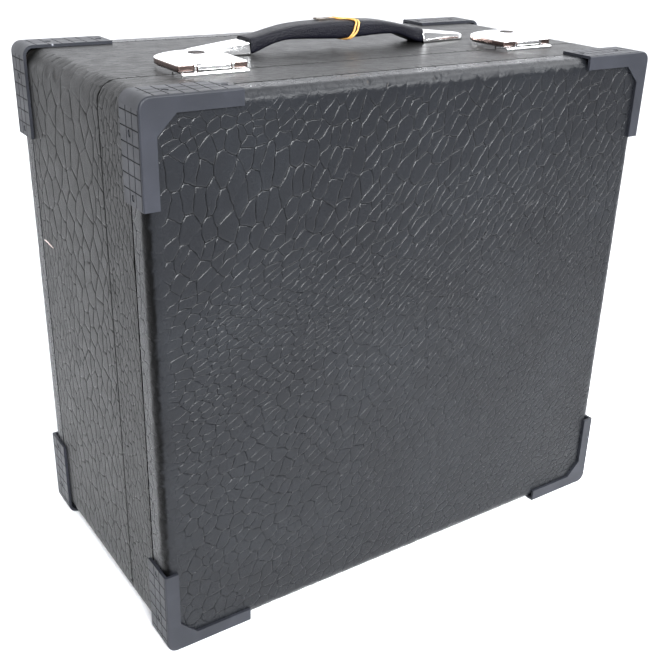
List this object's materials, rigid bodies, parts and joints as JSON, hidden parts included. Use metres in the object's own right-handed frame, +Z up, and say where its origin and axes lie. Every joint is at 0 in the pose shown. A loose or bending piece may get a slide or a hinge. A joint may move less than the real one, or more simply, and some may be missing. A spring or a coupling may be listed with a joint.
{
  "type": "accordion case",
  "caption": "Upright black accordion case covered in scale-embossed vinyl, with plastic corner protectors, chrome key latches and a strap handle with chrome end caps.",
  "frame": {"origin": "on the floor under the middle of the standing case", "axes": "+Z up, -Y towards the front face that opens, +X to the right as seen from the front"},
  "size_m": [0.5052, 0.2722, 0.492],
  "materials": {
    "embossed_vinyl": "black vinyl covering with an embossed reptile-scale grain",
    "plywood": "bare plywood",
    "rim_wood": "dark stained hardwood strip",
    "plush_lining": "short dark red plush on foam",
    "corner_plastic": "moulded black plastic, satin",
    "rivet_black": "blackened steel",
    "zinc_steel": "zinc-plated steel",
    "bright_chrome": "polished chrome plate",
    "grained_vinyl": "black fine-grained vinyl",
    "ochre_rubber": "tan rubber band",
    "key_metal": "stamped nickel-plated steel"
  },
  "bodies": {
    "base": {"base_shell": "plywood", "base_side_vinyl": "embossed_vinyl", "base_back_vinyl": "embossed_vinyl", "base_rim": "rim_wood", "base_lining": "plush_lining", "base_corner_top_left": "corner_plastic", "base_corner_top_right": "corner_plastic", "base_corner_bottom_left": "corner_plastic", "base_corner_bottom_right": "corner_plastic", "base_corner_rivets": "rivet_black", "hinge_leaves_base": "zinc_steel", "hinge_screws_base": "zinc_steel", "catch_plate_left": "bright_chrome", "catch_plate_right": "bright_chrome", "latch_rivets_base": "bright_chrome", "handle_cap_left": "bright_chrome", "handle_cap_right": "bright_chrome", "handle_screws": "zinc_steel"},
    "lid": {"lid_shell": "plywood", "lid_front_vinyl": "embossed_vinyl", "lid_side_vinyl": "embossed_vinyl", "lid_lining": "plush_lining", "lid_corner_top_left": "corner_plastic", "lid_corner_top_right": "corner_plastic", "lid_corner_bottom_left": "corner_plastic", "lid_corner_bottom_right": "corner_plastic", "lid_corner_rivets": "rivet_black", "hinge_leaves_lid": "zinc_steel", "hinge_screws_lid": "zinc_steel", "hinge_pins": "zinc_steel", "latch_plate_left": "bright_chrome", "latch_plate_right": "bright_chrome", "latch_pin_left": "bright_chrome", "latch_pin_right": "bright_chrome", "latch_rivets_lid": "bright_chrome"},
    "latch_left": {"latch_cover_left": "bright_chrome"},
    "latch_right": {"latch_cover_right": "bright_chrome"},
    "lock_left": {"lock_plug_left": "bright_chrome"},
    "lock_right": {"lock_plug_right": "bright_chrome"},
    "handle": {"handle_grip": "grained_vinyl", "rubber_band": "ochre_rubber", "keys": "key_metal"},
    "strap_left": {"handle_strap_left": "zinc_steel", "handle_end_left": "grained_vinyl"},
    "strap_right": {"handle_strap_right": "zinc_steel", "handle_end_right": "grained_vinyl"}
  },
  "joints": [
    {"name": "lid_hinge", "type": "hinge", "parent": "base", "child": "lid", "pos_m": [0, -0.0555, 0.00245], "axis": [1, 0, 0], "range_deg": [0, 105]},
    {"name": "latch_left_lift", "type": "hinge", "parent": "lid", "child": "latch_left", "pos_m": [-0.162, -0.066, 0.4732], "axis": [1, 0, 0], "range_deg": [0, 95]},
    {"name": "latch_right_lift", "type": "hinge", "parent": "lid", "child": "latch_right", "pos_m": [0.162, -0.066, 0.4732], "axis": [1, 0, 0], "range_deg": [0, 95]},
    {"name": "lock_left_turn", "type": "hinge", "parent": "latch_left", "child": "lock_left", "pos_m": [-0.162, -0.0385, 0.4746], "axis": [0, 0, 1], "range_deg": [0, 90]},
    {"name": "lock_right_turn", "type": "hinge", "parent": "latch_right", "child": "lock_right", "pos_m": [0.162, -0.0385, 0.4746], "axis": [0, 0, 1], "range_deg": [0, 90]},
    {"name": "handle_lift", "type": "slide", "parent": "base", "child": "handle", "axis": [0, 0, 1], "range_m": [0, 0.008]},
    {"name": "strap_left_tilt", "type": "hinge", "parent": "base", "child": "strap_left", "pos_m": [-0.112, 0.0125, 0.4696], "axis": [0, -1, 0], "range_deg": [0, 8.5]},
    {"name": "strap_right_tilt", "type": "hinge", "parent": "base", "child": "strap_right", "pos_m": [0.112, 0.0125, 0.4696], "axis": [0, 1, 0], "range_deg": [0, 8.5]}
  ],
  "couplings": [
    {"joint": "strap_left_tilt", "follows": "handle_lift", "rad_per_m": 18.326},
    {"joint": "strap_right_tilt", "follows": "handle_lift", "rad_per_m": 18.326}
  ]
}
